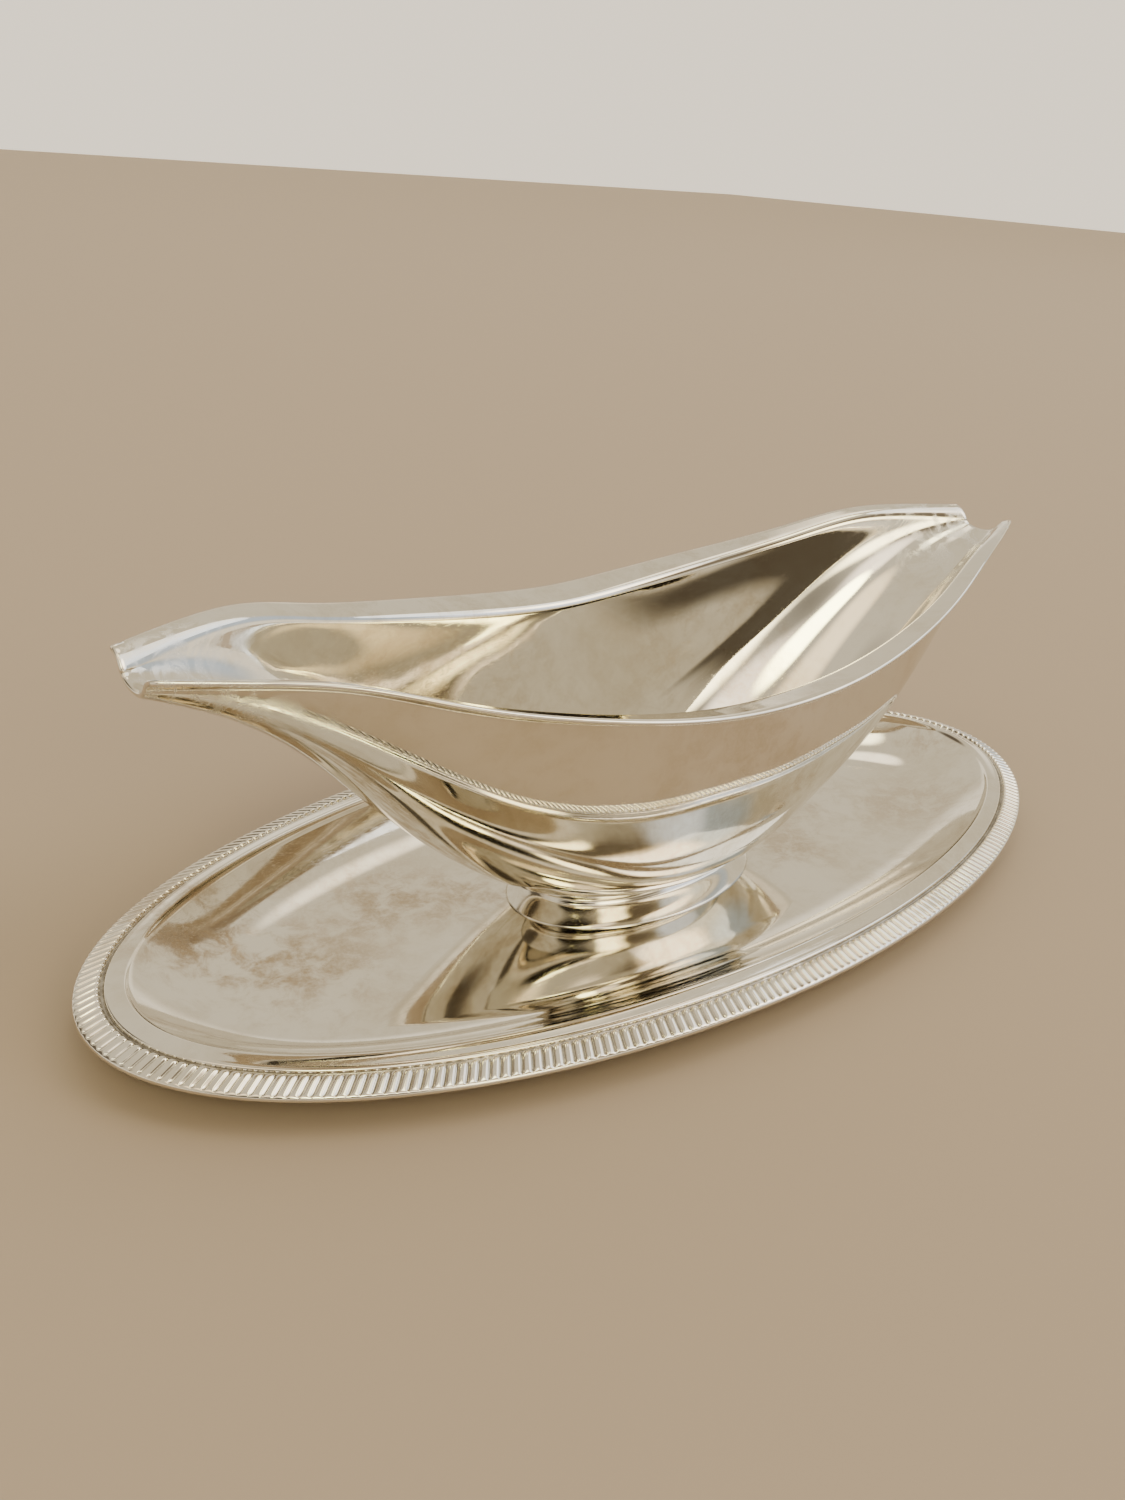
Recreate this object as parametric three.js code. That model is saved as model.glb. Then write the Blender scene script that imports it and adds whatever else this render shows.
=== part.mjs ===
// A double-ended sauce boat standing on an oval tray, in polished sheet metal.
//
// The boat lies along X and both of its ends are open spouts. Below it a low flared collar joins it to
// the tray, which has a flat well, a hollow rise, a rounded shoulder and a sloping border. The joints are
// soldered, with one ring of solder inside the top of the collar and one inside its base.
// Millimetres, +Z up, z = 0 is the table, and the origin is under the middle of the tray.

import * as THREE from "three";

// ---- Driving dimensions ----

const SHEET = 1.0; // thickness of the boat's and the tray's sheet
const GAP = 0.3; // clearance left at every soldered face

const TRAY_HALF_LENGTH = 120;
const TRAY_HALF_WIDTH = 57;
const TRAY_EDGE_LOW = 6.9; // underside of the tray's outer edge
const TRAY_EDGE_HIGH = 8.0;
const TRAY_WELL_INSET = 28; // from the outer edge in to the flat of the well
const TRAY_RISE_INSET = 9.5; // from the outer edge in to the top of the hollow rise
const TRAY_RISE_TOP = 8.9;
const TRAY_RISE_POWER = 1.8; // how hollow the rise is: 1 is a straight slope

const BOAT_HALF_LENGTH = 106.8;
// Table of offsets of one half of the boat, from its middle (0) to the end of a spout (1).
const STATIONS = [0, 0.2, 0.4, 0.6, 0.75, 0.88, 1];
const RIM_HALF_WIDTH = [37.6, 36.9, 33.3, 27.1, 21, 14.8, 8.2];
const RIM_HEIGHT = [55, 56.4, 59.6, 64.2, 68.4, 69.6, 69.8];
const KEEL_HEIGHT = [4, 4.7, 15, 33.5, 49.8, 60.1, 65.8];
// Shape of the cross-section, at stations of its own.
const SHAPE_STATIONS = [0, 0.25, 0.5, 0.75, 1];
const SIDE_LEAN = [0, 5, 6, 13.5, 25]; // degrees out from upright, at the top of the side
const BOTTOM_FULLNESS = [0.8, 0.64, 0.64, 0.74, 0.79]; // how far out the bottom stays level
const BILGE_REACH = [0.66, 0.83, 0.84, 0.81, 0.8]; // how far out the turn into the side lies
const BILGE_HEIGHT = [0.21, 0.46, 0.53, 0.57, 0.53]; // and how far up
const SIDE_STRAIGHTNESS = [0.61, 0.63, 0.57, 0.3, 0.15]; // how far down the side keeps its lean
// The rim turns out into a lip, which is wider on top than underneath: the rim is thicker than the sheet.
const LIP_STATIONS = [0, 0.5, 1];
const LIP_WIDTH = [6, 3.8, 2.6]; // underneath, from the side's corner to the edge
const LIP_BAND = [8, 6.2, 3.6]; // on top
const LIP_RISE = 10.5; // degrees above level
const LIP_BEND = 1.6; // length of side and of lip taken up by the bend underneath
const LIP_ROUNDING = 1.8; // and by the bend on top
const LIP_FULL_BEND_FROM = 5; // where the lip is narrower than this, the bends shrink with it
const RIM_THICK_FROM = 0.55; // share of the side above which the rim thickens

const COLLAR_HALF_LENGTH = 31.4; // at its base
const COLLAR_HALF_WIDTH = 18.9;
const COLLAR_FLARE = 5.5; // how much further out the base reaches than the neck
const COLLAR_SHEET = 0.9;
const COLLAR_POWER = 2.4; // hollowness of the flare
const SOLDER = 0.9; // width and height of a solder ring

// ---- Fineness of the facets ----

const BOAT_STATIONS = 40;
const SIDE_STEPS = 11;
const BEND_STEPS = 3;
const TRAY_SIDES = 72;
const COLLAR_SIDES = 48;
const RISE_STEPS = 6;
const FLARE_STEPS = 4;

const metal = (colour, roughness) =>
  new THREE.MeshStandardMaterial({ color: colour, roughness, metalness: 1 });

// ---- Fair curves ----

// A smooth curve through values given at stations, as a function: the natural cubic spline.
function splineThrough(stations, values) {
  const last = stations.length - 1;
  const bend = values.map(() => 0);
  const carry = values.map(() => 0);
  for (let i = 1; i < last; i++) {
    const before = stations[i] - stations[i - 1];
    const after = stations[i + 1] - stations[i];
    const turn = (values[i + 1] - values[i]) / after - (values[i] - values[i - 1]) / before;
    const pivot = 2 * (before + after) - before * carry[i - 1];
    carry[i] = after / pivot;
    bend[i] = (6 * turn - before * bend[i - 1]) / pivot;
  }
  for (let i = last - 1; i > 0; i--) bend[i] -= carry[i] * bend[i + 1];

  return (at) => {
    let i = 1;
    while (i < last && at > stations[i]) i++;
    const step = stations[i] - stations[i - 1];
    const b = (at - stations[i - 1]) / step;
    const a = 1 - b;
    const curved = (a ** 3 - a) * bend[i - 1] + (b ** 3 - b) * bend[i];
    return a * values[i - 1] + b * values[i] + (curved * step * step) / 6;
  };
}

// The same for a boat whose two halves mirror each other, so that the curve is level at the middle.
function mirroredSpline(stations, values) {
  const behind = stations.slice(1).reverse().map((s) => -s);
  const spline = splineThrough(
    [...behind, ...stations],
    [...values.slice(1).reverse(), ...values],
  );
  return (at) => spline(Math.abs(at));
}

const rimHalfWidth = mirroredSpline(STATIONS, RIM_HALF_WIDTH);
const rimHeight = mirroredSpline(STATIONS, RIM_HEIGHT);
const keelHeight = mirroredSpline(STATIONS, KEEL_HEIGHT);
const sideLean = mirroredSpline(SHAPE_STATIONS, SIDE_LEAN);
const bottomFullness = mirroredSpline(SHAPE_STATIONS, BOTTOM_FULLNESS);
const bilgeReach = mirroredSpline(SHAPE_STATIONS, BILGE_REACH);
const bilgeHeight = mirroredSpline(SHAPE_STATIONS, BILGE_HEIGHT);
const sideStraightness = mirroredSpline(SHAPE_STATIONS, SIDE_STRAIGHTNESS);
const lipWidth = mirroredSpline(LIP_STATIONS, LIP_WIDTH);
const lipBand = mirroredSpline(LIP_STATIONS, LIP_BAND);

// Points of a Bezier curve with any number of control points.
function curvePoints(controls, steps) {
  return Array.from({ length: steps + 1 }, (_, i) => {
    let points = controls;
    while (points.length > 1)
      points = points.slice(1).map((p, j) => points[j].clone().lerp(p, i / steps));
    return points[0];
  });
}

// ---- The boat's cross-section ----

const direction = (degrees) => {
  const angle = THREE.MathUtils.degToRad(degrees);
  return new THREE.Vector2(Math.cos(angle), Math.sin(angle));
};

const OUTWARD = direction(LIP_RISE);
const OVER = direction(LIP_RISE + 90);

const sideUp = (station) => direction(90 - sideLean(station));
const rimEdge = (station) => new THREE.Vector2(rimHalfWidth(station), rimHeight(station));

// The bend out of a side and the flat of the lip: from the top of the side, round the corner, to the edge.
function lipPoints(station, corner, bendLength, edge) {
  const length = bendLength * Math.min(1, lipWidth(station) / LIP_FULL_BEND_FROM);
  const top = corner.clone().addScaledVector(sideUp(station), -length);
  const beyond = corner.clone().addScaledVector(OUTWARD, length);
  return [...curvePoints([top, corner, beyond], BEND_STEPS), edge];
}

// The outer face of one side at a station, from the keel out to the edge of the lip, as (y, z) points.
function outerHalfSection(station) {
  const edge = rimEdge(station);
  const corner = edge.clone().addScaledVector(OUTWARD, -lipWidth(station));
  const lip = lipPoints(station, corner, LIP_BEND, edge);
  const top = lip[0];
  const keel = new THREE.Vector2(0, keelHeight(station));
  const depth = top.y - keel.y;
  const level = new THREE.Vector2(bottomFullness(station) * top.x, keel.y);
  const bilge = new THREE.Vector2(
    bilgeReach(station) * top.x,
    keel.y + bilgeHeight(station) * depth,
  );
  const upright = top
    .clone()
    .addScaledVector(sideUp(station), -sideStraightness(station) * depth);
  return [...curvePoints([keel, level, bilge, upright, top], SIDE_STEPS), ...lip.slice(1)];
}

// The inner face: the sheet's thickness in from the outer one, and further in towards the top of the side,
// up to the inner corner of the lip.
function innerHalfSection(station, outer) {
  const edge = rimEdge(station).addScaledVector(OVER, SHEET);
  const corner = edge.clone().addScaledVector(OUTWARD, -lipBand(station));
  const lip = lipPoints(station, corner, LIP_ROUNDING, edge);
  const side = outer.slice(0, SIDE_STEPS + 1).map((point, i) => {
    const before = outer[Math.max(i - 1, 0)];
    const after = outer[Math.min(i + 1, SIDE_STEPS)];
    const along = i === 0 ? new THREE.Vector2(1, 0) : after.clone().sub(before).normalize();
    return point.clone().add(new THREE.Vector2(-along.y, along.x).multiplyScalar(SHEET));
  });
  const thickening = lip[0].clone().sub(side[SIDE_STEPS]);
  side.forEach((point, i) => {
    const share = THREE.MathUtils.smoothstep(i / SIDE_STEPS, RIM_THICK_FROM, 1);
    point.addScaledVector(thickening, share);
  });
  return [...side, ...lip.slice(1)];
}

// Height of the boat's underside over a point of the plan.
function undersideHeight(x, y) {
  const half = outerHalfSection(x / BOAT_HALF_LENGTH);
  const out = Math.abs(y);
  let i = 1;
  while (i < half.length - 1 && half[i].x < out) i++;
  const share = (out - half[i - 1].x) / (half[i].x - half[i - 1].x);
  return THREE.MathUtils.lerp(half[i - 1].y, half[i].y, share);
}

// ---- Meshes ----

// The boat's sheet: rings round the cross-sections, one after the other along X, and the two cut ends.
function boatGeometry() {
  const positions = [];
  const faces = [];
  let ringSize = 0;
  for (let i = 0; i <= BOAT_STATIONS; i++) {
    const station = (2 * i) / BOAT_STATIONS - 1;
    const outer = outerHalfSection(station);
    const inner = innerHalfSection(station, outer);
    const wholeOf = (half) => [
      ...half.slice(1).reverse().map((p) => [-p.x, p.y]),
      ...half.map((p) => [p.x, p.y]),
    ];
    const ring = [...wholeOf(outer), ...wholeOf(inner).reverse()];
    ringSize = ring.length;
    for (const [y, z] of ring) positions.push(station * BOAT_HALF_LENGTH, y, z);
  }
  const quad = (a, b, c, d) => faces.push(a, b, c, a, c, d);
  for (let i = 0; i < BOAT_STATIONS; i++)
    for (let j = 0; j < ringSize; j++) {
      const next = (j + 1) % ringSize;
      const here = i * ringSize;
      const there = here + ringSize;
      quad(here + j, here + next, there + next, there + j);
    }
  const lastRing = BOAT_STATIONS * ringSize;
  for (let j = 0; j < ringSize / 2 - 1; j++) {
    const across = ringSize - 1 - j;
    quad(j, across, across - 1, j + 1);
    quad(lastRing + j, lastRing + j + 1, lastRing + across - 1, lastRing + across);
  }
  const geometry = new THREE.BufferGeometry();
  geometry.setAttribute("position", new THREE.Float32BufferAttribute(positions, 3));
  geometry.setIndex(faces);
  return geometry;
}

// A profile turned round an oval. Its points are (inset, height): the inset is measured inwards from an
// oval of the given half-length and half-width, and every smaller oval keeps that distance at its ends
// and at its sides. An inset of the half-width is the middle of the oval.
function ovalTurned(profile, halfLength, halfWidth, sides) {
  const turned = new THREE.LatheGeometry(
    profile.map(([inset, height]) => new THREE.Vector2(halfWidth - inset, height)),
    sides,
  ).rotateX(Math.PI / 2);
  const place = turned.attributes.position;
  for (let i = 0; i < place.count; i++) {
    const radius = Math.hypot(place.getX(i), place.getY(i));
    if (radius > 1e-6) {
      const stretch = (halfLength - halfWidth + radius) / radius;
      place.setX(i, place.getX(i) * stretch);
    }
  }
  return turned;
}

// Height of the tray's top face on the hollow rise, at an inset from its outer edge.
function riseHeight(inset) {
  const share = (TRAY_WELL_INSET - inset) / (TRAY_WELL_INSET - TRAY_RISE_INSET);
  return SHEET + (TRAY_RISE_TOP - SHEET) * share ** TRAY_RISE_POWER;
}

function trayGeometry() {
  const rise = Array.from({ length: RISE_STEPS + 1 }, (_, i) => {
    const inset = THREE.MathUtils.lerp(TRAY_WELL_INSET, TRAY_RISE_INSET, i / RISE_STEPS);
    return [inset, riseHeight(inset)];
  });
  const shoulder = [
    [8.4, 9.7],
    [6.8, 9.9],
    [5.8, 9.4],
  ];
  const border = [
    [4.6, 9.5],
    [2.4, 9.1],
    [0.6, TRAY_EDGE_HIGH + 0.3],
    [0, TRAY_EDGE_HIGH - 0.3],
  ];
  const middle = TRAY_HALF_WIDTH;
  const top = [[middle, SHEET], ...rise, ...shoulder, ...border];
  const underRise = rise.map(([inset, height]) => [inset + SHEET * 0.4, height - SHEET]);
  const under = [
    [0.2, TRAY_EDGE_LOW],
    [1.2, TRAY_EDGE_LOW],
    [2.4, 8.0],
    [6.8, 8.8],
    ...underRise.reverse(),
    [middle, 0],
  ];
  return ovalTurned([...top, ...under].reverse(), TRAY_HALF_LENGTH, TRAY_HALF_WIDTH, TRAY_SIDES);
}

const COLLAR_BASE = SHEET + GAP;

// The collar's outer face, from its base up to the neck, where 1 on the rise is just under the boat.
function collarFlare() {
  return Array.from({ length: FLARE_STEPS + 1 }, (_, i) => {
    const inset = (COLLAR_FLARE * i) / FLARE_STEPS;
    const rise = 1 - (1 - i / FLARE_STEPS) ** (1 / COLLAR_POWER);
    return [inset, rise];
  });
}

// Turns a profile whose heights run from 0, at the collar's base, to 1, close under the boat.
function ovalUnderBoat(profile, sides) {
  const geometry = ovalTurned(profile, COLLAR_HALF_LENGTH, COLLAR_HALF_WIDTH, sides);
  const place = geometry.attributes.position;
  for (let i = 0; i < place.count; i++) {
    const roof = undersideHeight(place.getX(i), place.getY(i)) - GAP;
    place.setZ(i, THREE.MathUtils.lerp(COLLAR_BASE, roof, place.getZ(i)));
  }
  return geometry;
}

function collarGeometry() {
  const outside = collarFlare();
  const inside = outside.map(([inset, rise]) => [inset + COLLAR_SHEET, rise]).reverse();
  const profile = [...outside, ...inside];
  return ovalUnderBoat([...profile, profile[0]], COLLAR_SIDES);
}

function upperSolderGeometry() {
  const start = COLLAR_FLARE + COLLAR_SHEET + GAP;
  const profile = [
    [start, 0.75],
    [start, 1],
    [start + SOLDER, 1],
    [start, 0.75],
  ];
  return ovalUnderBoat(profile, COLLAR_SIDES);
}

function lowerSolderGeometry() {
  const start = COLLAR_SHEET + GAP;
  const profile = [
    [start, COLLAR_BASE],
    [start + SOLDER / 2, COLLAR_BASE + SOLDER / 4],
    [start + SOLDER, COLLAR_BASE],
    [start, COLLAR_BASE],
  ];
  return ovalTurned(profile, COLLAR_HALF_LENGTH, COLLAR_HALF_WIDTH, COLLAR_SIDES);
}

// ---- The object ----

const sauceBoat = new THREE.Group();

function add(name, geometry, material) {
  geometry.deleteAttribute("uv");
  geometry.deleteAttribute("normal");
  geometry.computeVertexNormals();
  const mesh = new THREE.Mesh(geometry, material);
  mesh.name = name;
  sauceBoat.add(mesh);
}

add("boat_body", boatGeometry(), metal(0xc9c5bb, 0.08));
add("foot_collar", collarGeometry(), metal(0xc4c0b6, 0.12));
add("under_tray", trayGeometry(), metal(0xc6c1b4, 0.14));
add("boat_to_collar_solder", upperSolderGeometry(), metal(0x9c9a94, 0.45));
add("collar_to_tray_solder", lowerSolderGeometry(), metal(0x9c9a94, 0.45));

export default sauceBoat;
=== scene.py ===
"""A polished double-ended sauce boat on its oval tray: the looks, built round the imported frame."""

import math

import bpy
import numpy as np
from mathutils import Matrix, Vector

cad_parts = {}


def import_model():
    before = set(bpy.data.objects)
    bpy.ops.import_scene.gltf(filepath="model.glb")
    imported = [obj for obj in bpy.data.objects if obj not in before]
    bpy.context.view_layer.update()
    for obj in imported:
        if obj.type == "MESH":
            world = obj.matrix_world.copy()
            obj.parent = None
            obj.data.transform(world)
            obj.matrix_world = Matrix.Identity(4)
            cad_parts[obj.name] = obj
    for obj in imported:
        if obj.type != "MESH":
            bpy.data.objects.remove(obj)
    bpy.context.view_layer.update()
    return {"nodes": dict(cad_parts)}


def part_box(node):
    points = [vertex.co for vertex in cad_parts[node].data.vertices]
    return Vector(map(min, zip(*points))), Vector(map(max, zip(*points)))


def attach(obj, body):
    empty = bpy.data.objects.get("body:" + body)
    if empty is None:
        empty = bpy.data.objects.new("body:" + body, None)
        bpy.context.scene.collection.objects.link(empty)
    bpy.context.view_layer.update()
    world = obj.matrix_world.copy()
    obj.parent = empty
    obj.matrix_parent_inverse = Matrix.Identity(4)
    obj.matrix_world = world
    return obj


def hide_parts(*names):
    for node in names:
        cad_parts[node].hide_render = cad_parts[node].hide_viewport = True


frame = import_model()

MM = 0.001

# ---- Sizes that the frame gives ----

BOAT_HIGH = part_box("boat_body")[1]
TRAY_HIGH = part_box("under_tray")[1]
COLLAR_LOW, COLLAR_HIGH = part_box("foot_collar")

SHEET = 1.0 * MM

# ---- The boat's shape: the frame's table of offsets, in millimetres, with a softer lip ----

STATIONS = (0, 0.2, 0.4, 0.6, 0.75, 0.88, 1)
RIM_HALF_WIDTH = (37.6, 36.9, 33.3, 27.1, 21.0, 14.8, 8.2)
RIM_HEIGHT = (55.0, 56.4, 59.6, 64.2, 68.4, 69.6, 69.8)
KEEL_HEIGHT = (4.0, 4.7, 15.0, 33.5, 49.8, 60.1, 65.8)
SHAPE_STATIONS = (0, 0.25, 0.5, 0.75, 1)
SIDE_LEAN = (0, 5, 6, 13.5, 25)  # degrees out from upright, at the top of the side
BOTTOM_FULLNESS = (0.8, 0.64, 0.64, 0.74, 0.79)  # how far out the bottom stays level
BILGE_REACH = (0.66, 0.83, 0.84, 0.81, 0.8)  # how far out the turn into the side lies
BILGE_HEIGHT = (0.21, 0.46, 0.53, 0.57, 0.53)  # and how far up
SIDE_STRAIGHTNESS = (0.61, 0.63, 0.57, 0.3, 0.15)  # how far down the side keeps its lean
LIP_STATIONS = (0, 0.5, 1)
LIP_WIDTH = (6.0, 3.8, 2.6)  # underneath, and
LIP_BAND = (8.0, 5.9, 3.2)  # on top, where the rim is thicker than the sheet
LIP_RISE = 10.5  # degrees above level
BEND_STATIONS = (0, 0.4, 0.7, 0.88, 1)
LIP_BEND = (1.6, 1.5, 1.3, 1.5, 1.9)  # underneath, how far the round corner reaches each way, and
LIP_ROUNDING = (1.8, 1.7, 1.7, 2.3, 3.0)  # on top, where the lip melts into the spout
RIM_THICK_FROM = 0.55  # share of the side above which the rim thickens

ALONG = 300  # quads along the boat
SIDE_QUADS = 56  # quads up each side, and
BEND_QUADS = 10  # round the bend
FLAT_QUADS = 5  # across the flat of the lip
EDGE_QUADS = 6  # round the sheet's edge

# ---- The tray's section, in millimetres: inset from the outer edge, and height ----

WELL_INSET = 28.0  # in to the flat of the well
RISE_INSET = 9.5  # in to the top of the hollow rise
RISE_TOP = 8.9
RISE_POWER = 1.8  # how hollow the rise is: 1 is a straight slope
UNDERSIDE_SHIFT = 0.4  # how much further in the underside of the rise lies
UNDER_WELL_RINGS = 4
UNDER_RISE_RINGS = 15
RISE_RINGS = 24
WELL_RINGS = 8
FINE_STEPS = 20000  # straight steps that measure the length of the border
REEDS = 304
REED_STEPS = 8  # mesh steps across one reed
REED_ROUNDNESS = 2.8  # 2 would be half round; more makes a flatter top and a narrower cut
# under the border, from the rise out to the edge
UNDER_BORDER = ((6.8, 8.4), (2.4, 7.9), (1.2, 6.9), (0.35, 6.9), (0.1, 7.05), (0, 7.3))
# over the reeds' tops, with how deep the cuts between them are
REED_TOPS = (
    (0.04, 7.6, 0),
    (0.15, 7.85, 0),
    (0.32, 8.02, 0.03),
    (0.52, 8.13, 0.28),
    (0.8, 8.24, 0.55),
    (1.2, 8.38, 0.66),
    (2.1, 8.69, 0.68),
    (3.0, 8.99, 0.68),
    (3.8, 9.25, 0.7),
    (4.1, 9.31, 0.74),
    (4.32, 9.26, 0.7),
    (4.48, 9.08, 0.54),
    (4.56, 8.82, 0.3),
)
CUT_FULL_SHADE_DEPTH = 0.6  # a cut this deep gets the full painted shade and grime
REED_ENDS_FROM = 4
REED_END_ROUNDING = 0.22  # how much further in the middle of a reed reaches than its sides
# painted shade, with some dirt, over the groove inside the reeds, out to the inset below
GROOVE_SHADE_AND_DIRT = 0.8
GROOVE_TO = 5.4
# the groove inside the reeds, the bead, and the sloping shoulder up to its crest
SHOULDER = (
    (4.75, 8.5),
    (5.05, 8.46),
    (5.25, 8.54),
    (5.36, 8.75),
    (5.42, 8.98),
    (5.54, 9.17),
    (5.74, 9.25),
    (5.94, 9.23),
    (6.15, 9.26),
    (6.5, 9.37),
    (7.3, 9.62),
    (8.1, 9.86),
    (8.4, 9.91),
    (8.66, 9.87),
    (8.88, 9.72),
    (9.1, 9.46),
    (9.3, 9.19),
)

# ---- Curves ----


def natural_spline(stations, values):
    """The natural cubic spline through values at stations, as a function of an array."""
    x = np.array(stations, float)
    y = np.array(values, float)
    n = len(x)
    step = np.diff(x)
    matrix = np.eye(n)
    turn = np.zeros(n)
    for i in range(1, n - 1):
        matrix[i, i - 1 : i + 2] = step[i - 1], 2 * (step[i - 1] + step[i]), step[i]
        turn[i] = 6 * ((y[i + 1] - y[i]) / step[i] - (y[i] - y[i - 1]) / step[i - 1])
    bend = np.linalg.solve(matrix, turn)

    def at(s):
        i = np.clip(np.searchsorted(x, s), 1, n - 1)
        b = (s - x[i - 1]) / step[i - 1]
        a = 1 - b
        curved = (a**3 - a) * bend[i - 1] + (b**3 - b) * bend[i]
        return a * y[i - 1] + b * y[i] + curved * step[i - 1] ** 2 / 6

    return at


def mirrored(stations, values):
    """The same for the whole boat, from a table of one half of it."""
    spline = natural_spline(
        [-s for s in stations[:0:-1]] + list(stations), list(values[:0:-1]) + list(values)
    )
    return lambda s: spline(np.abs(s))


def bezier(points, t):
    """A Bezier curve with any number of control points, each an array (stations, 2), at each t."""
    points = [p[None] for p in points]
    t = t[:, None, None]
    while len(points) > 1:
        points = [a * (1 - t) + b * t for a, b in zip(points, points[1:])]
    return points[0]


# ---- Mesh helpers ----


def new_piece(name, vertices, faces, material, slot_name, *stands_for):
    mesh = bpy.data.meshes.new(name)
    mesh.from_pydata(vertices, [], faces)
    mesh.update()
    mesh.polygons.foreach_set("use_smooth", [True] * len(mesh.polygons))
    mesh.materials.append(material)
    piece = bpy.data.objects.new(name, mesh)
    bpy.context.scene.collection.objects.link(piece)
    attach(piece, "root")
    if stands_for:
        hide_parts(*stands_for)
    return piece


def grid_faces(rows, columns, first=0, flip=False, wrap=False):
    """Quads over a grid of vertices stored row by row. wrap joins the last column to the first."""
    r = np.arange(rows - 1)[:, None] * columns + first
    c = np.arange(columns if wrap else columns - 1)[None]
    d = (c + 1) % columns
    quads = np.stack([r + c, r + d, r + columns + d, r + columns + c], -1).reshape(-1, 4)
    return quads[:, ::-1] if flip else quads


# ---- The boat ----


def boat_faces():
    """The boat's outer and inner faces, each a grid: stations along X, and from -Y round to +Y."""
    half_length = BOAT_HIGH.x - SHEET / 2  # the rounded edge of the sheet makes up the rest
    s = np.linspace(-1, 1, ALONG + 1) * half_length / BOAT_HIGH.x
    sheet = SHEET / MM

    def along(stations, values):
        return mirrored(stations, values)(s)

    def direction(degrees):
        angle = np.radians(degrees) + 0 * s
        return np.stack([np.cos(angle), np.sin(angle)], -1)

    lip_width = along(LIP_STATIONS, LIP_WIDTH)
    bend = along(BEND_STATIONS, LIP_BEND)[:, None]
    rounding = along(BEND_STATIONS, LIP_ROUNDING)[:, None]
    outward = direction(LIP_RISE)
    over = direction(LIP_RISE + 90)
    up = direction(90 - along(SHAPE_STATIONS, SIDE_LEAN))
    rim = np.stack([along(STATIONS, RIM_HALF_WIDTH), along(STATIONS, RIM_HEIGHT)], -1)

    corner = rim - outward * lip_width[:, None]
    top = corner - up * bend
    keel = np.stack([0 * s, along(STATIONS, KEEL_HEIGHT)], -1)
    depth = top[:, 1] - keel[:, 1]
    level = np.stack([along(SHAPE_STATIONS, BOTTOM_FULLNESS) * top[:, 0], keel[:, 1]], -1)
    bilge = np.stack(
        [
            along(SHAPE_STATIONS, BILGE_REACH) * top[:, 0],
            keel[:, 1] + along(SHAPE_STATIONS, BILGE_HEIGHT) * depth,
        ],
        -1,
    )
    upright = top - up * (along(SHAPE_STATIONS, SIDE_STRAIGHTNESS) * depth)[:, None]
    rise = np.linspace(0, 1, SIDE_QUADS + 1)
    side = bezier([keel, level, bilge, upright, top], rise)
    edge = rim - outward * sheet / 2  # the rounded edge reaches out to the rim
    outer = lip_to(edge, side, top, corner, corner + outward * bend)

    # the inner face: square to the outer one, and further in under the lip
    run = np.gradient(side, axis=0)
    run /= np.linalg.norm(run, axis=-1, keepdims=True)
    square = np.stack([-run[..., 1], run[..., 0]], -1)
    square[0] = (0, 1)
    inner_corner = rim + over * sheet - outward * along(LIP_STATIONS, LIP_BAND)[:, None]
    inner_top = inner_corner - up * rounding
    lining = side + square * sheet
    share = smooth_step((rise - RIM_THICK_FROM) / (1 - RIM_THICK_FROM))
    lining += (inner_top - lining[-1]) * share[:, None, None]
    beyond = inner_corner + outward * rounding
    inner = lip_to(edge + over * sheet, lining, inner_top, inner_corner, beyond)

    x = s * BOAT_HIGH.x
    faces = []
    for half in (outer, inner):
        half = half.transpose(1, 0, 2)
        section = np.concatenate([half[:, :0:-1] * (-1, 1), half], 1) * MM
        faces.append(np.concatenate([np.repeat(x[:, None, None], section.shape[1], 1), section], -1))
    return faces


def lip_to(edge, side, top, corner, beyond):
    """A side, the bend from its top round the corner, and the flat of the lip."""
    bend = bezier([top, corner, beyond], np.linspace(0, 1, BEND_QUADS + 1))[1:]
    flat = bezier([beyond, edge], np.linspace(0, 1, FLAT_QUADS + 1))[1:]
    return np.concatenate([side, bend, flat])


def smooth_step(share):
    share = np.clip(share, 0, 1)
    return share * share * (3 - 2 * share)


def rounded_sheet(outer, inner):
    """A closed sheet with rounded edges, from the grids of its two faces. Returns (vertices, faces)."""
    rows, columns = outer.shape[:2]
    # the border, once round
    last_row, last_column = rows - 1, columns - 1
    border = (
        [(0, j) for j in range(last_column)]
        + [(i, last_column) for i in range(last_row)]
        + [(last_row, j) for j in range(last_column, 0, -1)]
        + [(i, 0) for i in range(last_row, 0, -1)]
    )
    strips = []
    for i, j in border:
        across = outer[i, j] - inner[i, j]
        half = np.linalg.norm(across) / 2
        n = across / half / 2
        away = np.zeros(3)
        if i in (0, last_row):
            away += unit(outer[i, j] - outer[1 if i == 0 else last_row - 1, j], n)
        if j in (0, last_column):
            away += unit(outer[i, j] - outer[i, 1 if j == 0 else last_column - 1], n)
        away = unit(away, n)
        middle = (outer[i, j] + inner[i, j]) / 2
        turns = np.linspace(0, math.pi, EDGE_QUADS + 1)[1:-1, None]
        strips.append(middle + np.cos(turns) * n * half + np.sin(turns) * away * SHEET / 2)
    strips = np.array(strips)
    vertices = np.concatenate([outer.reshape(-1, 3), inner.reshape(-1, 3), strips.reshape(-1, 3)])
    first_inner = rows * columns
    first_strip = 2 * first_inner
    count, width = strips.shape[:2]
    faces = [grid_faces(rows, columns), grid_faces(rows, columns, first_inner, flip=True)]
    grid_index = np.array([i * columns + j for i, j in border])
    lane = [grid_index]
    lane += [first_strip + np.arange(count) * width + k for k in range(width)]
    lane += [grid_index + first_inner]
    for a, b in zip(lane, lane[1:]):
        faces.append(np.stack([a, b, np.roll(b, -1), np.roll(a, -1)], -1))
    return vertices, np.concatenate(faces)


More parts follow.
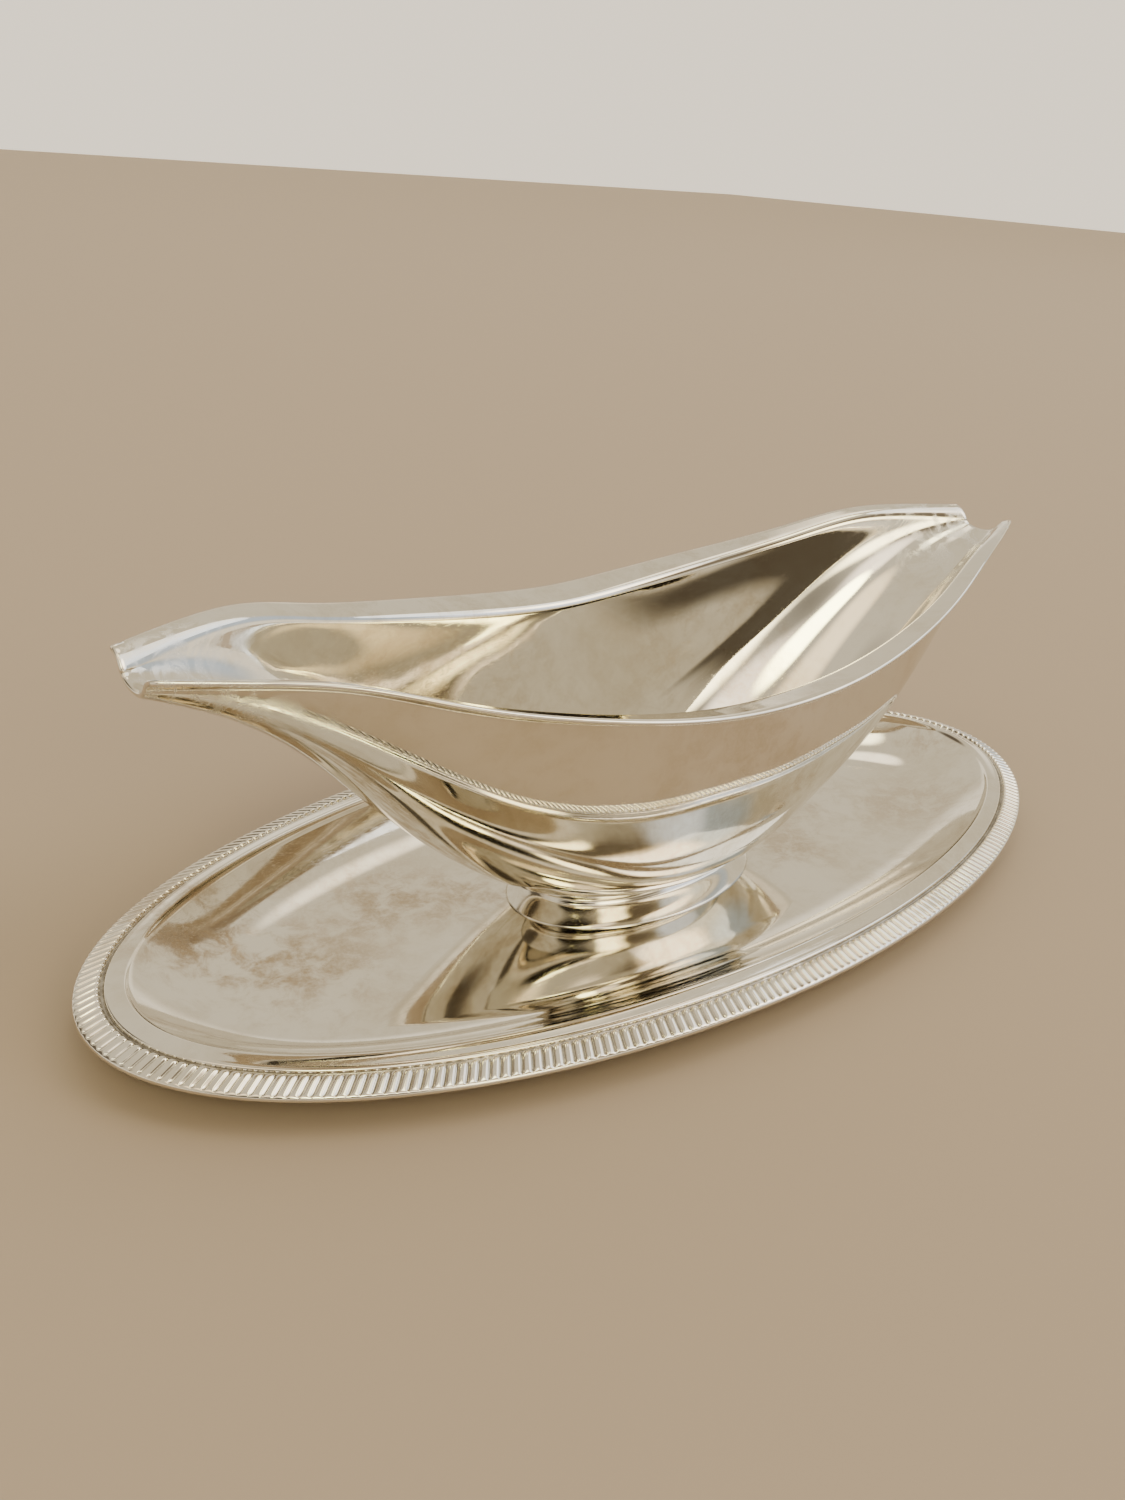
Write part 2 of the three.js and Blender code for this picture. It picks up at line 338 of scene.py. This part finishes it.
def unit(vector, normal):
    """vector laid into the plane square to normal, at length 1."""
    flat = vector - normal * np.dot(vector, normal)
    return flat / np.linalg.norm(flat)


def boat(material):
    vertices, faces = rounded_sheet(*boat_faces())
    return new_piece("boat", vertices, faces.tolist(), material, "boat_metal", "boat_body")


# ---- The tray ----


def oval(inset, turns):
    """Points of the tray's oval at an inset in millimetres from its edge."""
    return np.stack(
        [
            (TRAY_HIGH.x - inset * MM) * np.cos(turns),
            (TRAY_HIGH.y - inset * MM) * np.sin(turns),
        ],
        -1,
    )


def even_turns(count):
    """Angles that put points evenly round the tray's border."""
    fine = np.linspace(0, 2 * math.pi, FINE_STEPS + 1)
    path = oval(0, fine)
    run = np.concatenate([[0], np.cumsum(np.linalg.norm(np.diff(path, axis=0), axis=1))])
    return np.interp(np.arange(count) / count * run[-1], run, fine)


def tray(material):
    steps = REEDS * REED_STEPS
    turns = even_turns(steps)
    across = (np.arange(steps) % REED_STEPS) / REED_STEPS
    ridge = np.sqrt(1 - np.abs(2 * across - 1) ** REED_ROUNDNESS)
    rings = []
    shade_and_grime = []  # how much painted shade and grime each ring's cuts and grooves get

    def ring(inset, height, cut=0.0, rounding=0.0, shade_and_dirt=0.0):
        inset = inset - rounding * (1 - ridge)
        height = height - cut * (1 - ridge)
        x = (TRAY_HIGH.x - inset * MM) * np.cos(turns)
        y = (TRAY_HIGH.y - inset * MM) * np.sin(turns)
        rings.append(np.stack([x, y, height * MM + 0 * x], -1))
        # painted shade with grime: strongest down the deepest cuts between the reeds, and over the
        # groove
        shade_and_grime.append(np.clip(shade_and_dirt + (1 - ridge) * min(1, cut / CUT_FULL_SHADE_DEPTH), 0, 1))

    # underside, from the middle out to the border
    half_width = TRAY_HIGH.y / MM
    sheet = SHEET / MM
    for share in np.linspace(0, 1, UNDER_WELL_RINGS + 1)[1:]:
        ring(half_width * (1 - share) + (WELL_INSET + UNDERSIDE_SHIFT) * share, 0)
    for share in np.linspace(0, 1, UNDER_RISE_RINGS + 1)[1:]:
        inset = WELL_INSET + (RISE_INSET - WELL_INSET) * share
        ring(inset + UNDERSIDE_SHIFT, (RISE_TOP - sheet) * share**RISE_POWER)
    for inset, height in UNDER_BORDER:
        ring(inset, height)
    # the top of the border, from its outer edge in
    for inset, height, cut in REED_TOPS:
        ring(inset, height, cut, REED_END_ROUNDING if inset > REED_ENDS_FROM else 0)
    for inset, height in SHOULDER:
        ring(inset, height, shade_and_dirt=GROOVE_SHADE_AND_DIRT if inset < GROOVE_TO else 0)
    # the rise and the well
    for share in np.linspace(1, 0, RISE_RINGS):
        inset = WELL_INSET + (RISE_INSET - WELL_INSET) * share
        ring(inset, sheet + (RISE_TOP - sheet) * share**RISE_POWER)
    for share in np.linspace(1, 0, WELL_RINGS)[1:-1]:
        ring(half_width * (1 - share) + WELL_INSET * share, sheet)

    vertices = np.concatenate(rings)
    faces = grid_faces(len(rings), steps, wrap=True).tolist()
    low, high = len(vertices), len(vertices) + 1
    vertices = np.concatenate([vertices, [[0, 0, 0], [0, 0, SHEET]]])
    last = (len(rings) - 1) * steps
    for i in range(steps):
        following = (i + 1) % steps
        faces.append([low, following, i])
        faces.append([high, last + i, last + following])
    piece = new_piece("tray", vertices, faces, material, "tray_metal", "under_tray")
    add_values(piece, "shade_and_grime", np.concatenate(shade_and_grime + [np.zeros(2)]))
    return piece


def add_values(piece, name, values):
    """Keep one number for each vertex, for the material to read."""
    attribute = piece.data.attributes.new(name, "FLOAT", "POINT")
    attribute.data.foreach_set("value", values.astype(np.float32))


# ---- The collar ----

COLLAR_FLARE = 5.5  # how much further out the base reaches than the neck
COLLAR_SHEET = 0.9
COLLAR_POWER = 2.4  # hollowness of the flare
COLLAR_AROUND = 256
COLLAR_RINGS = 15
NECK_GAP = 0.3  # left under the boat for the solder
COLLAR_SEAT = 0.25  # the solder draws the foot down almost onto the tray


def underside_height(x, y):
    """Height of the boat's underside over points of the plan, in metres."""
    face = boat_faces()[0]
    middle = face.shape[1] // 2
    rows = np.clip((x / BOAT_HIGH.x + 1) / 2 * ALONG, 0, ALONG - 1)
    low = rows.astype(int)
    share = rows - low
    heights = []
    for r, f, out in zip(low, share, np.abs(y)):
        section = face[r, middle:] * (1 - f) + face[r + 1, middle:] * f
        heights.append(np.interp(out, section[: SIDE_QUADS // 2, 1], section[: SIDE_QUADS // 2, 2]))
    return np.array(heights)


def collar(material):
    turns = np.linspace(0, 2 * math.pi, COLLAR_AROUND, endpoint=False)
    base = COLLAR_LOW.z - COLLAR_SEAT * MM
    up = np.linspace(0, 1, COLLAR_RINGS)
    outside = [(COLLAR_FLARE * t, 1 - (1 - t) ** (1 / COLLAR_POWER)) for t in up]
    inside = [(inset + COLLAR_SHEET, rise) for inset, rise in reversed(outside)]
    rings = []
    for inset, rise in outside + inside:
        x = (COLLAR_HIGH.x - inset * MM) * np.cos(turns)
        y = (COLLAR_HIGH.y - inset * MM) * np.sin(turns)
        roof = underside_height(x, y) - NECK_GAP * MM
        rings.append(np.stack([x, y, base + (roof - base) * rise], -1))
    rings.append(rings[0])
    faces = grid_faces(len(rings), COLLAR_AROUND, wrap=True)
    count = (len(rings) - 1) * COLLAR_AROUND
    faces = np.where(faces >= count, faces - count, faces)
    vertices = np.concatenate(rings[:-1])
    return new_piece("collar", vertices, faces.tolist(), material, "collar_metal", "foot_collar")


# ---- Materials ----

CLEAN_SILVER = (0.80, 0.775, 0.70, 1)
WARM_SILVER = (0.71, 0.66, 0.54, 1)
BROWN_TARNISH = (0.47, 0.38, 0.265, 1)
# painted shade with grime, for the cuts between the reeds and the groove inside them
CREVICE_SHADE_AND_GRIME = (0.13, 0.11, 0.085, 1)
WATER_MARK = (0.84, 0.84, 0.82, 1)
SOLDER_GREY = (0.50, 0.49, 0.46, 1)
FLUX_BROWN = (0.20, 0.18, 0.15, 1)

# how large the features of each noise are, in millimetres
CLOUD_SIZE = 28
MOTTLE_SIZE = 4.5
SPECKLE_SIZE = 0.7
WATER_MARK_SIZE = 9
RIPPLE_SIZE = 16
SOLDER_BLOTCH_SIZE = 2.5
SOLDER_GRAIN_SIZE = 0.4

# scratches: the way they run in degrees, spacing, length, and how many there are
SCRATCH_RUNS = ((20, 0.22, 9, 0.36), (74, 0.3, 14, 0.35), (131, 0.26, 7, 0.36))
SCRATCH_EDGE = 0.06

# how strongly tarnish shows away from the places below, and how strongly warm metal does
FAINT_TARNISH = 0.16
WARM_SHARE = 0.45
# what each kind of wear adds to the roughness
MOTTLE_ROUGH = 0.025
TARNISH_ROUGH = 0.14
WATER_ROUGH = 0.26
SCRATCH_ROUGH = 0.05
GRIME_ROUGH = 0.35
FINE_RELIEF = 0.0004  # depth of the scratches and specks in millimetres
SOLDER_RELIEF = 0.08

# where tarnish has gathered: x, y, reach in millimetres, and strength
TRAY_TARNISH = (
    (-92, 20, 22, 0.9),
    (-78, 6, 26, 0.75),
    (-52, 18, 20, 0.7),
    (-36, 10, 16, 0.6),
    (38, -12, 18, 0.45),
    (62, 0, 26, 0.3),
    (84, -14, 22, 0.35),
    (112, 6, 16, 0.55),
    (52, -36, 16, 0.4),
)
BOAT_TARNISH = ((-30, 10, 45, 0.35), (40, 15, 35, 0.3), (0, -25, 30, 0.2))
COLLAR_TARNISH = ((-20, -5, 22, 0.5), (10, 5, 18, 0.3))


def node(tree, kind, inputs=(), **settings):
    """A new shader node. inputs is a list of (socket, number or link from another node)."""
    made = tree.nodes.new("ShaderNode" + kind)
    for name, value in settings.items():
        setattr(made, name, value)
    for name, value in inputs:
        if isinstance(value, bpy.types.NodeSocket):
            tree.links.new(value, made.inputs[name])
        else:
            made.inputs[name].default_value = value
    return made


def noise(tree, where, size, detail=3.0, roughness=0.55, distortion=0.0):
    """Noise with features about size millimetres across."""
    inputs = [
        ("Vector", where),
        ("Scale", 1 / (size * MM)),
        ("Detail", detail),
        ("Roughness", roughness),
        ("Distortion", distortion),
    ]
    return node(tree, "TexNoise", inputs).outputs["Fac"]


def spread(tree, value, low, high, to_low=0.0, to_high=1.0):
    """value from low to high becomes a smooth step between two other numbers."""
    inputs = [
        ("Value", value),
        ("From Min", low),
        ("From Max", high),
        ("To Min", to_low),
        ("To Max", to_high),
    ]
    return node(tree, "MapRange", inputs, interpolation_type="SMOOTHSTEP").outputs["Result"]


def math_node(tree, operation, a, b):
    return node(tree, "Math", [(0, a), (1, b)], operation=operation).outputs[0]


def total(tree, *values):
    sum_so_far = values[0]
    for value in values[1:]:
        sum_so_far = math_node(tree, "ADD", sum_so_far, value)
    return sum_so_far


def product(tree, a, b):
    return math_node(tree, "MULTIPLY", a, b)


def mix_colours(tree, share, first, second):
    inputs = [("Factor", share), ("A", first), ("B", second)]
    made = tree.nodes.new("ShaderNodeMix")
    made.data_type = "RGBA"
    for name, value in inputs:
        socket = [i for i in made.inputs if i.name == name and i.enabled][0]
        if isinstance(value, bpy.types.NodeSocket):
            tree.links.new(value, socket)
        else:
            socket.default_value = value
    return [o for o in made.outputs if o.enabled][0]


def scratches(tree, where, degrees, spacing, length, amount):
    """Fine straight scratches running one way: noise drawn out along its length."""
    turned = node(
        tree,
        "Mapping",
        [
            ("Vector", where),
            ("Rotation", (0.3, 0.2, math.radians(degrees))),
            ("Scale", (1 / (length * MM), 1 / (spacing * MM), 1 / (spacing * MM))),
        ],
    ).outputs["Vector"]
    inputs = [("Vector", turned), ("Scale", 1.0), ("Detail", 1.0)]
    lines = node(tree, "TexNoise", inputs).outputs["Fac"]
    return spread(tree, lines, 1 - amount, 1 - amount + SCRATCH_EDGE)


def spots(tree, where, places):
    """Soft round patches. places is a list of (x, y, reach, strength), in millimetres."""
    patches = []
    for x, y, reach, strength in places:
        flattened = node(tree, "VectorMath", [(0, where), (1, (1, 1, 0))], operation="MULTIPLY")
        away = node(
            tree,
            "VectorMath",
            [(0, flattened.outputs["Vector"]), (1, (x * MM, y * MM, 0))],
            operation="DISTANCE",
        ).outputs["Value"]
        patches.append(spread(tree, away, reach * MM, 0, 0, strength))
    return total(tree, *patches)


def silver(name, shine, tarnish_places=(), worn_ends=None, shade_and_grime=None, unevenness=0.0):
    """Polished silver with clouded tarnish, water marks, fine scratches and a hand-raised surface."""
    material = bpy.data.materials.new(name)
    material.use_nodes = True
    tree = material.node_tree
    shader = tree.nodes["Principled BSDF"]
    where = node(tree, "TexCoord").outputs["Object"]

    broad = noise(tree, where, CLOUD_SIZE, 4, 0.6, 0.6)
    mottle = noise(tree, where, MOTTLE_SIZE, 7, 0.66, 0.5)
    speckle = noise(tree, where, SPECKLE_SIZE, 3, 0.6)
    warmth = spread(tree, broad, 0.38, 0.68)

    cloud = total(tree, product(tree, broad, 0.45), product(tree, mottle, 0.55))
    cloud = spread(tree, cloud, 0.44, 0.62)
    tarnish = product(tree, cloud, FAINT_TARNISH)
    if tarnish_places:
        tarnish = total(tree, tarnish, product(tree, spots(tree, where, tarnish_places), cloud))
    tarnish = product(tree, tarnish, spread(tree, speckle, 0.3, 0.6, 0.7, 1.15))

    colour = mix_colours(tree, product(tree, warmth, WARM_SHARE), CLEAN_SILVER, WARM_SILVER)
    colour = mix_colours(tree, tarnish, colour, BROWN_TARNISH)
    rough = total(
        tree,
        spread(tree, mottle, 0.35, 0.7, shine, shine + MOTTLE_ROUGH),
        product(tree, tarnish, TARNISH_ROUGH),
    )

    if worn_ends:
        # dried water marks towards the two ends
        along = node(tree, "SeparateXYZ", [("Vector", where)]).outputs["X"]
        out = math_node(tree, "ABSOLUTE", along, 0.0)
        marks = noise(tree, where, WATER_MARK_SIZE, 5, 0.62, 2.0)
        reach = spread(tree, out, worn_ends[0] * MM, worn_ends[1] * MM)
        marks = product(tree, spread(tree, marks, 0.42, 0.58), reach)
        colour = mix_colours(tree, product(tree, marks, 0.5), colour, WATER_MARK)
        rough = total(tree, rough, product(tree, marks, WATER_ROUGH))

    lines = total(tree, *[scratches(tree, where, *run) for run in SCRATCH_RUNS])
    rough = total(tree, rough, product(tree, lines, SCRATCH_ROUGH))

    # painted shade with grime, from the mesh's values, darkens the cuts between the reeds and the
    # groove
    if shade_and_grime:
        crevice_shade = node(tree, "Attribute", attribute_name=shade_and_grime).outputs["Fac"]
        crevice_shade = product(tree, spread(tree, crevice_shade, 0.35, 0.95), spread(tree, mottle, 0.3, 0.6, 0.6, 1))
        colour = mix_colours(tree, crevice_shade, colour, CREVICE_SHADE_AND_GRIME)
        rough = total(tree, rough, product(tree, crevice_shade, GRIME_ROUGH))

    tree.links.new(colour, shader.inputs["Base Color"])
    tree.links.new(rough, shader.inputs["Roughness"])
    shader.inputs["Metallic"].default_value = 1

    raised = noise(tree, where, RIPPLE_SIZE, 1.5, 0.4)
    inputs = [("Height", raised), ("Distance", unevenness * MM), ("Strength", 1.0)]
    raised = node(tree, "Bump", inputs)
    fine = total(tree, product(tree, lines, -0.6), product(tree, speckle, 0.5))
    bump = node(
        tree,
        "Bump",
        [
            ("Height", fine),
            ("Distance", FINE_RELIEF * MM),
            ("Strength", 1.0),
            ("Normal", raised.outputs["Normal"]),
        ],
    )
    tree.links.new(bump.outputs["Normal"], shader.inputs["Normal"])
    return material


def solder(name):
    """Dull grey solder, pitted and darkened where flux was left on it."""
    material = bpy.data.materials.new(name)
    material.use_nodes = True
    tree = material.node_tree
    shader = tree.nodes["Principled BSDF"]
    where = node(tree, "TexCoord").outputs["Object"]
    blotch = noise(tree, where, SOLDER_BLOTCH_SIZE, 4, 0.6, 0.8)
    grain = noise(tree, where, SOLDER_GRAIN_SIZE, 3, 0.6)
    colour = mix_colours(tree, spread(tree, blotch, 0.4, 0.65), SOLDER_GREY, FLUX_BROWN)
    tree.links.new(colour, shader.inputs["Base Color"])
    tree.links.new(spread(tree, blotch, 0.35, 0.7, 0.38, 0.7), shader.inputs["Roughness"])
    shader.inputs["Metallic"].default_value = 1
    relief = total(tree, grain, blotch)
    bump = node(tree, "Bump", [("Height", relief), ("Distance", SOLDER_RELIEF * MM)])
    tree.links.new(bump.outputs["Normal"], shader.inputs["Normal"])
    return material


# ---- Stage, light and camera ----

FLOOR_REACH = 6.0
FLOOR_COLOUR = (0.36, 0.29, 0.225, 1)


def floor():
    mesh = bpy.data.meshes.new("floor")
    corners = [(-1, -1), (1, -1), (1, 1), (-1, 1)]
    mesh.from_pydata([(x * FLOOR_REACH, y * FLOOR_REACH, 0) for x, y in corners], [], [(0, 1, 2, 3)])
    material = bpy.data.materials.new("floor")
    material.use_nodes = True
    shader = material.node_tree.nodes["Principled BSDF"]
    shader.inputs["Base Color"].default_value = FLOOR_COLOUR
    shader.inputs["Roughness"].default_value = 0.55
    shader.inputs["Specular IOR Level"].default_value = 0.2
    mesh.materials.append(material)
    plane = bpy.data.objects.new("floor", mesh)
    bpy.context.scene.collection.objects.link(plane)


WALL = (1.45, 1.28, 1.02, 1)  # near level, plain all the way round
ROOM = (0.95, 0.83, 0.63, 1)  # higher up
# soft light and shade in the room: turn from +Y towards +X and height in degrees, the angle
# from the middle within which it is full, the angle where it ends, and its colour
SOFT_LIGHTS = (
    (-42, 24, 14, 29, (0.16, 0.13, 0.095, 1)),
    (-142, 14, 16, 32, (0.035, 0.027, 0.018, 1)),
    (160, 38, 10, 22, (0.28, 0.22, 0.15, 1)),
    (110, 16, 8, 26, (0.78, 0.86, 0.95, 1)),
    (134, 20, 6, 15, (1.7, 1.8, 2.1, 1)),
    (132, 44, 7, 18, (4.4, 3.6, 2.6, 1)),
    (-104, 63, 6, 17, (2.6, 2.1, 1.35, 1)),
    (-165, 48, 5, 14, (3.2, 2.7, 2.1, 1)),
    (180, 26, 5, 13, (7.5, 6.5, 4.0, 1)),
    (56, 60, 5, 11, (2.9, 2.55, 2.0, 1)),
    (122, 79, 4, 11, (5.7, 5.2, 3.5, 1)),
    (-145, 46, 5, 10, (14.0, 13.0, 7.0, 1)),
)
PLAIN_BELOW = 6  # degrees above level, where the room stays plain behind the object
FULL_LIGHTS_FROM = 15  # degrees above level, where the lights have their full strength


def world():
    made = bpy.data.worlds.new("studio")
    made.use_nodes = True
    tree = made.node_tree
    towards = node(tree, "TexCoord").outputs["Generated"]
    rise = node(tree, "SeparateXYZ", [("Vector", towards)]).outputs["Z"]
    high = spread(
        tree, rise, math.sin(math.radians(PLAIN_BELOW)), math.sin(math.radians(FULL_LIGHTS_FROM))
    )
    colour = mix_colours(tree, high, WALL, ROOM)
    for turn, height, full, end, light in SOFT_LIGHTS:
        turn, height = math.radians(turn), math.radians(height)
        middle = (
            math.sin(turn) * math.cos(height),
            math.cos(turn) * math.cos(height),
            math.sin(height),
        )
        near = node(
            tree, "VectorMath", [(0, towards), (1, middle)], operation="DOT_PRODUCT"
        ).outputs["Value"]
        share = spread(tree, near, math.cos(math.radians(end)), math.cos(math.radians(full)))
        colour = mix_colours(tree, product(tree, share, high), colour, light)
    tree.links.new(colour, tree.nodes["Background"].inputs["Color"])
    bpy.context.scene.world = made


def area_light(name, place, size, power, colour):
    """A soft light aimed at the middle of the object."""
    lamp = bpy.data.lights.new(name, "AREA")
    lamp.shape = "DISK"
    lamp.size = size
    lamp.energy = power
    lamp.color = colour
    light = bpy.data.objects.new(name, lamp)
    light.location = place
    light.rotation_euler = (-Vector(place)).to_track_quat("-Z", "Y").to_euler()
    bpy.context.scene.collection.objects.link(light)


CAMERA_PLACE = (-0.1644, -0.1707, 0.1425)
CAMERA_YAW = 39.76  # degrees from +Y towards +X
CAMERA_PITCH = 25.59  # degrees below level
CAMERA_ROLL = 4.47
CAMERA_LENS = 29.66  # millimetres, on a 36 mm sensor


def camera():
    yaw, pitch, roll = (math.radians(a) for a in (CAMERA_YAW, CAMERA_PITCH, CAMERA_ROLL))
    ahead = np.array(
        [
            math.sin(yaw) * math.cos(pitch),
            math.cos(yaw) * math.cos(pitch),
            -math.sin(pitch),
        ]
    )
    level = np.array([math.cos(yaw), -math.sin(yaw), 0])
    above = np.cross(level, ahead)
    right = math.cos(roll) * level + math.sin(roll) * above
    up = math.cos(roll) * above - math.sin(roll) * level
    lens = bpy.data.cameras.new("camera")
    lens.lens = CAMERA_LENS
    lens.sensor_width = 36
    lens.clip_start = 0.001
    made = bpy.data.objects.new("camera", lens)
    turned = Matrix(np.stack([right, up, -ahead], -1).tolist()).to_4x4()
    made.matrix_world = Matrix.Translation(CAMERA_PLACE) @ turned
    bpy.context.scene.collection.objects.link(made)
    bpy.context.scene.camera = made


boat(silver("boat_silver", 0.01, BOAT_TARNISH, (72, 100), unevenness=0.05))
collar(silver("collar_silver", 0.05, COLLAR_TARNISH, unevenness=0.04))
tray(silver("tray_silver", 0.035, TRAY_TARNISH, shade_and_grime="shade_and_grime", unevenness=0.02))
for joint in ("boat_to_collar_solder", "collar_to_tray_solder"):
    ring = frame["nodes"][joint]
    ring.data.materials.clear()
    ring.data.materials.append(solder(joint))

floor()
world()
area_light("key", place=(2.3, -1.1, 2.6), size=3.0, power=34, colour=(0.97, 0.98, 1.0))
camera()
